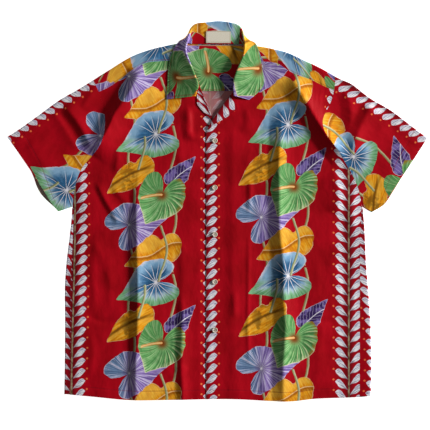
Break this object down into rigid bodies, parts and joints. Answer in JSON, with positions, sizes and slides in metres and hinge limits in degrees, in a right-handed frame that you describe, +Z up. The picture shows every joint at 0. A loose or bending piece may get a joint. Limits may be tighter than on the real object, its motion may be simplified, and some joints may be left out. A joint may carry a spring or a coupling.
{
  "type": "hawaiian shirt",
  "caption": "Short-sleeved aloha shirt with an open camp collar, laid flat face up and buttoned, in printed rayon.",
  "frame": {"origin": "centre of the bounding box, on the ground the shirt lies on", "axes": "+Z up out of the shirt's front, +Y towards the collar, +X towards the wearer's left sleeve"},
  "size_m": [0.8686, 0.7863, 0.0104],
  "materials": {
    "back": "smooth printed rayon",
    "back_yoke": "smooth printed rayon",
    "yoke_lining": "smooth printed rayon",
    "right_front": "smooth printed rayon",
    "left_front": "smooth printed rayon",
    "right_sleeve": "smooth printed rayon",
    "left_sleeve": "smooth printed rayon",
    "collar": "smooth printed rayon",
    "right_facing": "smooth printed rayon",
    "left_facing": "smooth printed rayon",
    "label": "plain woven tape",
    "button_1": "pearly",
    "button_2": "pearly",
    "button_3": "pearly",
    "button_4": "pearly",
    "button_5": "pearly"
  },
  "bodies": {
    "root": {"back": "back", "back_yoke": "back_yoke", "yoke_lining": "yoke_lining", "right_front": "right_front", "left_front": "left_front", "right_sleeve": "right_sleeve", "left_sleeve": "left_sleeve", "collar": "collar", "right_facing": "right_facing", "left_facing": "left_facing", "label": "label", "button_1": "button_1", "button_2": "button_2", "button_3": "button_3", "button_4": "button_4", "button_5": "button_5"}
  },
  "joints": []
}
